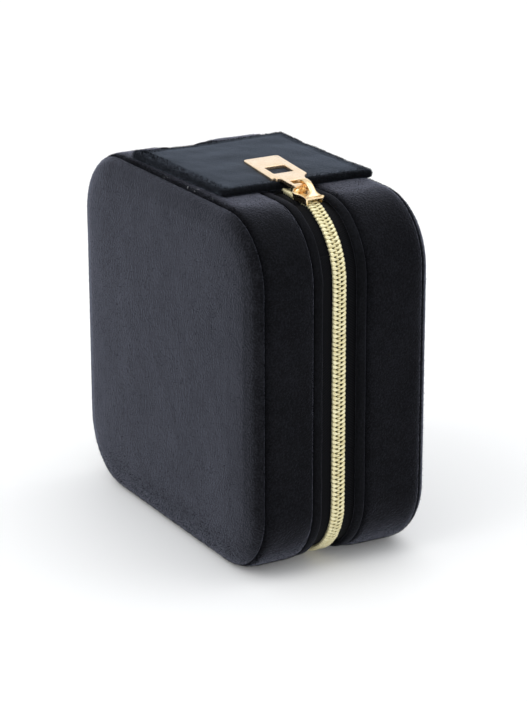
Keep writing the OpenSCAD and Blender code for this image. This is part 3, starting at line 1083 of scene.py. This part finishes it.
def slider_casting():
    """Die-cast slider of two plates and the post between them."""
    body = join("slider_casting", [slider_top(), slider_lower(), slider_post()])
    modified(body, "BEVEL", width=0.00006, segments=2, limit_method="ANGLE", angle_limit=0.9)
    return finish_piece(body, GOLD, "gold", "slider", "slider_body")


def slider_crown():
    """The arch on the slider that holds the pull's eye: a strap of metal that widens to its foot."""
    outer = [(-3.35, 0.5), (-3.4, 2.0), (-3.3, 3.4), (-2.6, 4.4), (-1.2, 4.58), (1.0, 3.98), (2.9, 2.8)]
    outer += [(3.75, 2.0), (4.25, 1.45)]
    inner = [(-2.5, 0.5), (-2.5, 2.0), (-2.45, 3.1), (-2.05, 3.68), (-1.0, 3.78), (0.5, 3.3), (1.75, 2.0)]
    inner += [(2.2, 1.3), (2.3, 0.8)]
    outer, inner = spline(outer, 32), spline(inner, 32)
    middle, half = (outer + inner) / 2, (outer - inner) / 2
    angle = circle(16)
    c = np.sign(np.cos(angle)) * np.abs(np.cos(angle)) ** 0.8
    q = np.sign(np.sin(angle)) * np.abs(np.sin(angle)) ** 0.8
    row = np.arange(32)
    foot = smooth((row - 20) / 11)
    half_width = 0.3 * (1 - foot) + (0.88 + 1.6 * foot**2 + 0.15 * smooth((7 - row) / 7)) * c[:, None]
    sections = grid_of(middle[:, :1] + half[:, :1] * q, half_width.T, middle[:, 1:] + half[:, 1:] * q)
    crown = subdivided(cast("slider_arch", sections))
    return finish_piece(crown, GOLD, "gold", "slider", "slider_crown")


def plate(name, outlines, thickness, bevel):
    """A flat plate with soft edges from outlines in mm; outlines after the first are holes."""
    curve = bpy.data.curves.new(name, "CURVE")
    curve.dimensions = "2D"
    curve.fill_mode = "BOTH"
    curve.extrude = (thickness / 2 - bevel) * MM
    curve.bevel_depth = bevel * MM
    curve.bevel_resolution = 3
    curve.offset = -bevel * MM
    for outline in outlines:
        line = curve.splines.new("POLY")
        line.points.add(len(outline) - 1)
        line.use_cyclic_u = True
        for point, (x, y) in zip(line.points, outline):
            point.co = (x * MM, y * MM, 0, 1)
    obj = linked(name + "_curve", curve)
    mesh = evaluated(obj)
    mesh.name = name
    made = linked(name, mesh)
    bpy.data.objects.remove(obj)
    bpy.data.curves.remove(curve)
    return edit(made, lambda bm: bmesh.ops.remove_doubles(bm, verts=bm.verts, dist=1e-6))


def soften(corners, radius, steps=5):
    """Round the corners of a closed polygon."""
    corners = np.array(corners, float)
    made = []
    for k, corner in enumerate(corners):
        before, after = corners[k - 1], corners[(k + 1) % len(corners)]
        reach = min(radius, np.linalg.norm(before - corner) * 0.45, np.linalg.norm(after - corner) * 0.45)
        start = corner + (before - corner) / np.linalg.norm(before - corner) * reach
        end = corner + (after - corner) / np.linalg.norm(after - corner) * reach
        for t in np.linspace(0, 1, steps):
            made.append((1 - t) ** 2 * start + 2 * t * (1 - t) * corner + t * t * end)
    return made


def joint_place(name):
    """Where a joint turns, in metres."""
    return next(j for j in frame["joints"] if j["name"] == name)["pos_m"]


def pull():
    """Flat pull with a square hole, a neck and an eye that hangs on the slider's arch."""
    pivot = np.array(joint_place("pull_swivel")) / MM
    length, half_w, neck = 21.3, 5.0, -7.8
    outline = [(0.1, -2.3), (0.5, 2.9), (-4.6, 2.9), (-6.7, 3.6), (neck, 4.3), (neck - 0.7, half_w)]
    outline += [(neck - length, half_w), (neck - length, -half_w), (neck - 0.9, -half_w)]
    outline += [(neck - 0.9, -half_w + 0.8), (neck, -half_w + 1.0), (neck, -3.5), (-6.6, -2.8)]
    outline += [(-2.0, -2.75)]
    hole_end = neck - 4.2
    hole = [(hole_end, -2.8), (hole_end, 2.8), (hole_end - 7.3, 2.8), (hole_end - 7.3, -2.8)]
    eye = [(-0.5, -1.75), (-0.5, 2.0), (-4.0, 2.0), (-4.0, -1.75)]
    made = plate("pull_plate", [soften(outline, 1.2), soften(hole, 0.5), soften(eye, 0.4)], 1.1, 0.2)
    askew = Matrix.Rotation(math.radians(-8), 4, "Z") @ Matrix.Rotation(math.radians(3), 4, "X")
    hung = Vector((pivot[0] - 0.2, ZIP_Y - 0.6, pivot[2] - 0.05)) * MM
    made.data.transform(Matrix.Translation(hung) @ askew)
    shade_by_angle(face_outward(made), 35)
    return finish_piece(made, PALE_GOLD, "gold", "pull", "pull_tab")


def shade_by_angle(obj, degrees):
    """Smooth shading with edges kept sharp past an angle."""
    mesh = obj.data
    mesh.polygons.foreach_set("use_smooth", [True] * len(mesh.polygons))

    def mark(bm):
        for edge in bm.edges:
            sharp = len(edge.link_faces) == 2 and edge.calc_face_angle(0) > math.radians(degrees)
            edge.smooth = not sharp

    return edit(obj, mark)


# ---------------- hinge


def bend_at_hinge(piece):
    """Bake a soft piece's place into its mesh. It does not bend with the lid."""
    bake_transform(piece)


def flap_shape(a, b, d, width, length, thick):
    """Warp a flat flap: a crown, uneven edges, a lift at the far side, a skew, and corners that stick
    out and curl."""
    top = smooth(d / thick * 1.4 - 0.3)
    crown = (1 - np.abs(2 * a / width) ** 6) * (1 - np.abs(2 * b / length) ** 6)
    d = d + top * (0.1 * crown + 0.1 * ripple(a, b, 15, 3) + 0.06 * ripple(a, b, 6, 4))
    edge = np.maximum(np.abs(2 * a / width), np.abs(2 * b / length)) ** 12
    wave_a, wave_b = ripple(b, d, 8, 6), ripple(a, d, 8, 8)
    a = a + np.sign(a) * edge * 0.12 * wave_a
    b = b + np.sign(b) * edge * 0.12 * wave_b
    along = b / length + 0.5
    d = d + top * np.clip(-2 * a / width, 0, 1) ** 3 * (0.5 * smooth((along - 0.35) / 0.45) - 0.08)
    askew = (0.5 - a / width) * (0.5 - b / length)
    a = a - 0.6 * askew
    b = b - 1.7 * askew
    corners = {(-1, -1): (1.3, 0.35), (1, 1): (1.3, 0.1), (1, -1): (0.4, 0.1), (-1, 1): (0.6, -0.1)}
    for (u, v), (reach, rise) in corners.items():
        near = np.exp(-(((a - u * width / 2) / 3.0) ** 2 + ((b - v * length / 2) / 3.0) ** 2))
        a = a + u * near * reach
        b = b + v * near * 0.3 * reach
        d = d + near * rise * d / thick
    return a, b, d


def hinge_panel():
    """Padded velvet flap over the top: rolled edges that stand a little proud, puckered corners and a
    soft crown."""
    low, high = box_mm("hinge_panel_cover")
    width, length, thick = high - low
    middle = (low + high) / 2
    rings = [(0.35, 3.2), (0.12, 1.8), (0.06, 1.0), (0.2, 0.45), (0.6, 0.08), (1.1, 0.0), (1.65, 0.05)]
    rings += [(2.1, 0.35), (2.3, 0.9), (2.32, 1.5), (2.22, 2.3), (2.15, 3.2), (2.15, 4.2)]
    flat, faces = pad_points(width, length, 1.3, rings, 40, back=True)
    a, b, d = flap_shape(*flat.T, width, length, thick)
    points = grid_of(a + middle[0], b + middle[1], d + low[2] + 0.02)
    panel = face_outward(new_object("hinge_panel_velvet", points, faces))
    rim = np.maximum(np.abs(a) - width / 2, np.abs(b) - length / 2) > -2.6
    inflate(panel, rim | (d < 1.9), 2.0, 0.25)
    subdivided(panel)
    finish_piece(panel, FLAP, "velvet_face", None, "hinge_panel_cover", "hinge_panel_pad")
    bend_at_hinge(panel)

    # Dark hairs over the rolled edges: fuzz, and painted shade that darkens these edges
    def rolled(centres):
        across = np.abs(centres[:, :2] - middle[:2]) - np.array([width, length]) / 2
        return smooth((across.max(axis=1) + 2.8) / 2.6) * (centres[:, 2] > low[2] + 0.4)

    hairs = pile("hinge_panel_pile", panel, rolled, 26, 0.55, None, 109)
    bend_at_hinge(hairs)


def gusset():
    """Lining strip under the hinge panel that closes the gap between the halves."""
    low, high = box_mm("hinge_gusset")
    x = np.linspace(low[0], high[0], 60)[:, None]
    y = np.linspace(low[1], high[1], 34)[None]
    wave = 0.06 * ripple(x, y, 7, 61)
    front = grid_of(x, y, high[2] - 0.05 + wave)
    back = grid_of(x, y, low[2] + 0.05 + wave)
    loop = np.concatenate([front, back[:, ::-1]], axis=1)
    strip = swept("hinge_gusset_cloth", loop, loop * [1, 1, 0])
    finish_piece(strip, LINING, "velvet_lining", None, "hinge_gusset")
    bend_at_hinge(strip)


# ---------------- inside of the base


def covered_board(node, across, along, edge, seed, body):
    """A thin board covered in velvet, between its CAD node's corners. across is the axis it is thin
    along, along the long axis, edge the remaining one."""
    low, high = box_mm(node)
    size, middle = high - low, (high + low) / 2
    thick = size[across]
    r = thick / 2
    rings = [(0.0, 1.2), (0.02, 0.7), (0.25 * r, 0.2), (0.6 * r, 0.02), (r, 0.0)]
    rings += [(thick - d, i) for d, i in rings[-2::-1]]
    flat, faces = pad_points(size[along], size[edge], 1.2, rings, 22, back=True)
    a, b, d = flat.T
    swell = (1 - np.abs(2 * a / size[along]) ** 6) * (1 - np.abs(2 * b / size[edge]) ** 6)
    side = np.where(d > r, 1, -1)
    d = d + side * swell * (0.06 + 0.05 * ripple(a, b, 13, seed)) * (np.abs(d - r) > 0.5 * r)
    points = np.zeros((len(a), 3))
    points[:, along] = a + middle[along]
    points[:, edge] = b + middle[edge]
    points[:, across] = d + low[across]
    board = subdivided(face_outward(new_object(node + "_velvet", points, faces)))
    return finish_piece(board, LINING, "velvet_lining", body, node)


def boards():
    """The two fixed partitions and the two loose dividers."""
    covered_board("cross_partition", 2, 0, 1, 83, "base")
    covered_board("upright_partition", 0, 2, 1, 81, "base")
    covered_board("front_divider", 0, 2, 1, 85, "front_divider")
    covered_board("rear_divider", 0, 2, 1, 86, "rear_divider")


def ring_roll(i):
    """A velvet-covered foam roll with a domed top and pinched ends, trimmed to the round corner."""
    node = f"ring_roll_{i}"
    low, high = box_mm(node)
    r = (high[0] - low[0]) / 2 - 0.12
    x_mid = (low[0] + high[0]) / 2
    top, bed = low[1], high[1]
    start, end = 4.3, high[2]
    shoulder = (bed + top + r) / 2 + 2
    dome = [(r * math.cos(t), top + r - r * math.sin(t)) for t in np.linspace(math.pi, 0, 15)]
    section = np.array([(-r, bed), (-r, shoulder)] + dome + [(r, shoulder), (r, bed), (0, bed)])
    centre = np.array([0, top + r + 3])
    stations = np.array([0, 0.35, 1.0, 2.2, 4, 7, 11, 16, 21, 26, 30, 34, 37, 39.2, 40.4, 41.05, 41.4])
    stations = start + stations / stations[-1] * (end - start)
    sections = np.zeros((len(stations), len(section), 3))
    for k, z in enumerate(stations):
        near = min(z - start, end - z)
        shrink = 1 - 0.16 * (1 - smooth(near / 1.6)) - 0.012 * (1 - smooth(near / 6))
        lump = 1 + 0.012 * ripple(section[:, 0] * 2, section[:, 1] * 2 + z, 17, 90 + i)
        ring = centre + (section - centre) * shrink * lump[:, None]
        sections[k, :, 0] = x_mid + np.clip(ring[:, 0], -r, r)
        sections[k, :, 1] = np.minimum(ring[:, 1], bed)
        sections[k, :, 2] = z
    inner_r = CORNER_R - WALL_T - 0.15
    over = np.clip(-STRAIGHT_W - sections[..., 0], 0, inner_r - 0.2)
    floor = np.maximum(CORNER_R - np.sqrt(inner_r**2 - over**2), start)
    sections[..., 2] = floor + (sections[..., 2] - start) * (end - floor) / (end - start)
    roll = swept(node + "_velvet", sections)
    inflate(roll, sections[..., 1].ravel() > bed - 3.5, 1.5, 0.25)
    subdivided(roll)
    finish_piece(roll, LINING, "velvet_lining", "base", node)


# ---------------- inside of the lid


def pocket_cloth(floor, rise, low_z, high_z, half_w):
    """Gathered satin, sewn on three sides and slack at its open edge."""
    u = np.linspace(-1, 1, 190)[:, None]
    v = np.linspace(0, 1, 46)[None]
    sides = smooth((1 - np.abs(u)) / 0.14) ** 0.6
    sewn = smooth((1 - v) / 0.22) ** 0.6
    bulge = sides * sewn * (0.82 + 0.18 * np.sin(np.clip(v * 1.2, 0, 1) * math.pi))
    pleats = np.sin(u * 52 + 1.6 * np.sin(u * 9) + 0.8 * np.sin(v * 3 + u * 5))
    fine = np.sin(u * 118 + 2 * np.sin(u * 14) + v * 2)
    fade = (1 - 0.75 * smooth(v / 0.9)) * sides
    puckers = 0.35 * np.sin(u * 70 + 2 * np.sin(u * 8)) * smooth((v - 0.72) / 0.2) * sewn
    rise_here = rise * bulge * 0.93 + sides * (0.42 * pleats + 0.16 * fine) * fade + 0.25 * puckers
    x = u * half_w * (1 - 0.02 * np.sin(v * math.pi)) + 0.25 * np.cos(u * 52) * fade
    y = floor - np.clip(rise_here, 0.05, rise + 0.35)
    grid = grid_of(x, y, low_z + v * (high_z - low_z))
    toward_lid = np.array([[0, 1, 0]])
    return sheet_grid("pocket_satin", grid, lambda c: toward_lid, weave=grid_of(u * 60, v * 46, 0 * u))


def pocket_hem(floor, rise, low_z, high_z, half_w):
    """Ruched elastic along the pocket's open edge."""
    w = circle(16)[None]
    u = np.linspace(-1, 1, 330)[:, None]
    sides = smooth((1 - np.abs(u)) / 0.14) ** 0.6
    ruche = np.sin(u * 104 + 1.5 * np.sin(u * 13))
    z = (low_z + high_z) / 2 + (high_z - low_z) / 2 * np.cos(w) * (0.9 + 0.08 * np.sin(u * 61))
    fat = (0.42 + 0.2 * ruche) * (0.5 + 0.5 * sides)
    y = floor - rise * 0.92 * sides - 0.1 + fat * np.sin(w) + 0.22 * ruche * np.cos(w)
    grid = grid_of(u * half_w, np.minimum(y, floor), z)
    return swept("pocket_elastic_hem", grid, grid_of(u * 60, w * 1.3, 0 * u))


def pocket():
    """Gathered satin pocket sewn to the lid on three sides, with a ruched elastic hem."""
    low, high = box_mm("pocket_fabric")
    elastic_low, elastic_high = box_mm("pocket_elastic")
    floor = high[1] - 0.05
    rise = high[1] - low[1] - 0.4
    half_w = high[0] - 0.3
    cloth = pocket_cloth(floor, rise, elastic_high[2] - 0.4, high[2] - 0.2, half_w)
    finish_piece(cloth, SATIN, "satin", "lid", "pocket_fabric")
    hem = pocket_hem(floor, rise, elastic_low[2], elastic_high[2], half_w)
    finish_piece(hem, KNIT, "satin", "lid", "pocket_elastic")


def strap_band():
    """Velvet-covered strip that the necklace straps are sewn into, with a row of stitches."""
    covered_board("strap_band", 1, 0, 2, 95, "lid")
    low, high = box_mm("strap_band")
    bow, thread = np.linspace(0, math.pi, 7)[:, None], circle(6)[None]
    y = low[1] - 0.16 * np.sin(bow) + 0.13 * np.cos(thread)
    z = high[2] - 1.3 + 0.13 * np.sin(thread)
    places = np.arange(low[0] + 3, high[0] - 3, 2.4)
    parts = [swept(f"stitch_{k}", grid_of(x - 0.75 * np.cos(bow), y, z)) for k, x in enumerate(places)]
    return finish_piece(join("strap_band_stitches", parts), KNIT, "velvet_lining", "lid")


def strap(i):
    """Necklace strap: a velvet tongue sewn into the band, held down by a press stud."""
    node = f"strap_{i}"
    low, high = box_mm(node)
    x_mid = (low[0] + high[0]) / 2
    root = box_mm("strap_band")[1][2] - 3
    width, length, thick = high[0] - low[0], high[2] - root, high[1] - low[1]
    rings = [(0.0, 0.9), (0.02, 0.45), (0.2, 0.12), (0.6, 0.0), (1.0, 0.12)]
    rings += [(thick - 0.02, 0.45), (thick, 0.9)]
    flat, faces = pad_points(width, length, width / 2 - 0.05, rings, 20, back=True)
    a, b, d = flat.T
    swell = (1 - np.abs(2 * a / width) ** 4) * (1 - np.abs(2 * b / length) ** 6)
    snap = np.exp(-((a / 4.6) ** 2 + ((b - length / 2 + width / 2) / 4.6) ** 4))
    side = np.where(d > thick / 2, 1, -1)
    d = d + side * 0.08 * swell * (1 - snap)
    square = smooth((-b - length / 2 + 7) / 4)
    a = a * (1 + square * 0.12 * (1 - np.abs(2 * a / width)))
    points = grid_of(a + x_mid, d + low[1], b + root + length / 2)
    tongue = subdivided(face_outward(new_object(node + "_velvet", points, faces)))
    finish_piece(tongue, SIDE, "velvet_side", None, node)
    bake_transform(tongue)


def lathe(name, profile, centre, count=40):
    """A turned piece: profile rows are (y, radius) from one pole to the other."""
    turn = circle(count)
    y, radius = np.array(profile, float).T[:, :, None]
    return swept(name, grid_of(centre[0] + radius * np.cos(turn), y, centre[2] + radius * np.sin(turn)))


def snap_cap(i):
    """Press-stud cap: a domed disc with a rolled edge, its shank, and the socket behind the strap."""
    node = f"snap_cap_{i}"
    low, high = box_mm(node)
    r = (high[0] - low[0]) / 2
    y, back = low[1], high[1]
    profile = [(y + 0.12, 0.02), (y + 0.1, 1.2), (y + 0.04, 2.0), (y, 2.6), (y + 0.06, 3.05)]
    profile += [(y + 0.22, 3.4), (y + 0.5, r), (y + 0.75, r - 0.06), (y + 0.9, r - 0.3), (y + 0.9, 1.0)]
    profile += [(back - 0.6, 1.0), (back - 0.6, r - 0.3), (back - 0.45, r - 0.05), (back - 0.25, r)]
    profile += [(back - 0.05, r - 0.2), (back, r - 0.6), (back, 2.0), (back - 0.1, 1.72), (back - 0.5, 1.7)]
    profile += [(back - 0.5, 0.02)]
    cap = lathe(node + "_turned", profile, (low + high) / 2)
    shade_by_angle(cap, 40)
    return finish_piece(cap, GOLD, "gold", f"strap_{i}", node)


def snap_studs():
    """The three studs on the lid's lining."""
    low, high = box_mm("snap_studs")
    back, tip = high[1], low[1]
    profile = [(back, 0.02), (back, 3.3), (back - 0.12, 3.55), (back - 0.35, 3.55), (back - 0.5, 3.3)]
    profile += [(back - 0.5, 1.5), (back - 0.75, 1.28), (tip + 0.45, 1.4), (tip + 0.15, 1.25), (tip, 0.8)]
    profile += [(tip, 0.02)]
    middle = (low + high) / 2
    parts = [lathe(f"stud_{i}", profile, middle + [26 * (i - 1), 0, 0]) for i in range(3)]
    studs = join("snap_studs_turned", parts)
    shade_by_angle(studs, 40)
    return finish_piece(studs, GOLD, "gold", "lid", "snap_studs")


def lint():
    """A few pale fibres caught in the pile along the lid's top seam."""
    draw = np.random.default_rng(17)
    around = np.stack([np.cos(circle(3)), np.full(3, 0.5), np.sin(circle(3))], 1)
    parts = []
    for s in (-3.5, -2.9, 9.0, 12.4, 13.0, 21.5):
        (point,), (normal,), _ = walk(np.array([s]))
        distance = DEPTH[LID] - SEAM_D + draw.normal(0.1, 0.5)
        point = point + normal * (-0.1 + draw.uniform(0, 0.4))
        at = np.array([point[0], ZIP_Y - distance, point[1]])
        run = draw.normal(0, 1, 3)
        run = run / np.linalg.norm(run) * draw.uniform(0.15, 0.5)
        bend = draw.normal(0, 0.1, 3)
        thick = draw.uniform(0.03, 0.06)
        rings = [at + run * t + bend * (1 - t * t) + thick * around for t in (-1, 0, 1)]
        parts.append(swept(f"fibre_{len(parts)}", np.array(rings)))
    return finish_piece(join("seam_lint", parts), LINT, "velvet_face", "lid")


# ---------------- build

for half in (LID, BASE):
    face_pad(half)
    wall_skin(half)
    lining_wall(half)
    lining_floor(half)

zip_tape(BASE, "base_tape", ZIP_START, LEFT_END, ["base_zip_tape"], "base")
zip_coil(BASE, "base_coil", [COIL_STUB, (COIL_IN, COIL_END)], ["base_zip_coil"], "base")
zip_tape(LID, "lid_tape", CORNER_END, LEFT_END, ["lid_zip_tape"], "lid")
zip_coil(LID, "lid_coil", [(CORNER_END, COIL_END)], ["lid_zip_coil"], "lid")
for piece in (
    zip_tape(LID, "lid_tape_corner", ZIP_START, CORNER_END, [], None),
    zip_coil(LID, "lid_coil_corner", [COIL_STUB, (COIL_IN, CORNER_END)], [], None),
):
    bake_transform(piece)
end_stops()

slider_casting()
slider_crown()
pull()
hinge_panel()
gusset()
boards()
for number in range(1, 7):
    ring_roll(number)
pocket()
strap_band()
snap_studs()
for number in range(1, 4):
    strap(number)
    snap_cap(number)
lint()

# CAD parts that stay, under their covers, with their own materials
COVERED = {
    "base_face_board": BOARD,
    "lid_face_board": BOARD,
    "base_wall_frame": PLASTIC,
    "lid_wall_frame": PLASTIC,
    "ring_roll_bed": BOARD,
}
for node, material in COVERED.items():
    data = frame["nodes"][node].data
    data.materials.clear()
    data.materials.append(material)


# ---------------- floor, light and camera


def floor():
    """Plain pale floor, a large disc just under the case."""
    g = Graph("floor")
    tone = g.noise(g.place(), 3.0, 2.0)
    g.shade(Base_Color=g.mix(tone, rgb(0.89, 0.887, 0.884), rgb(0.91, 0.907, 0.904)), Roughness=0.6)
    g.shade(Specular_IOR_Level=0.2, Emission_Color=rgb(1, 1, 1), Emission_Strength=0.07)
    sides = 64
    angle = circle(sides)[None]
    radius = np.array([300, 900, 2500, 6000])[:, None]
    rings = grid_of(radius * np.cos(angle), radius * np.sin(angle), 0.0).reshape(-1, 3)
    faces = [[0, 1 + k, 1 + (k + 1) % sides] for k in range(sides)]
    faces += (1 + grid_quads(4, sides, wrap_cols=True)).tolist()
    made = new_object("floor", np.vstack([np.zeros((1, 3)), rings]), faces)
    made.data.materials.append(g.material)
    made.location.z = -0.0001


def softbox(name, place, target, size, watts):
    """A rectangular lamp that faces a target."""
    light = bpy.data.lights.new(name, "AREA")
    light.shape = "RECTANGLE"
    light.size, light.size_y = size
    light.energy = watts
    obj = linked(name, light)
    obj.location = place
    obj.rotation_euler = (Vector(target) - Vector(place)).to_track_quat("-Z", "Y").to_euler()


def studio():
    """Soft light from all round, with a large lamp in front, one above and a weak one behind."""
    world = bpy.data.worlds.new("studio")
    bpy.context.scene.world = world
    world.use_nodes = True
    background = world.node_tree.nodes["Background"]
    background.inputs["Color"].default_value = rgb(0.96, 0.98, 1.0)
    background.inputs["Strength"].default_value = 0.92
    softbox("key", (0.0, -0.85, 0.8), (0, 0, 0.05), (0.9, 0.9), 4)
    softbox("top", (0.1, 0.35, 0.95), (0, 0, 0.05), (0.8, 0.8), 2.5)
    softbox("back", (-1.1, 0.62, 0.5), (0, 0, 0.08), (0.9, 0.7), 0.4)


# Camera: place in metres, focal length in mm, and angles
CAMERA_AT = (0.5828, -0.3230, 0.2674)
LENS = 132.07
YAW, PITCH, ROLL = math.radians(-60.71), math.radians(-18.38), math.radians(-0.12)


def camera():
    """The camera at the photograph's viewing angle."""
    ahead = Vector((math.sin(YAW) * math.cos(PITCH), math.cos(YAW) * math.cos(PITCH), math.sin(PITCH)))
    right = Vector((math.cos(YAW), -math.sin(YAW), 0))
    up = right.cross(ahead)
    rolled_right = right * math.cos(ROLL) + up * math.sin(ROLL)
    rolled_up = up * math.cos(ROLL) - right * math.sin(ROLL)
    lens = bpy.data.cameras.new("camera")
    lens.lens = LENS
    lens.sensor_width = 36
    lens.clip_start = 0.01
    obj = linked("camera", lens)
    turn = Matrix((rolled_right, rolled_up, -ahead)).transposed().to_4x4()
    obj.matrix_world = Matrix.Translation(CAMERA_AT) @ turn
    bpy.context.scene.camera = obj


floor()
studio()
camera()
bpy.context.scene.view_settings.view_transform = "Standard"
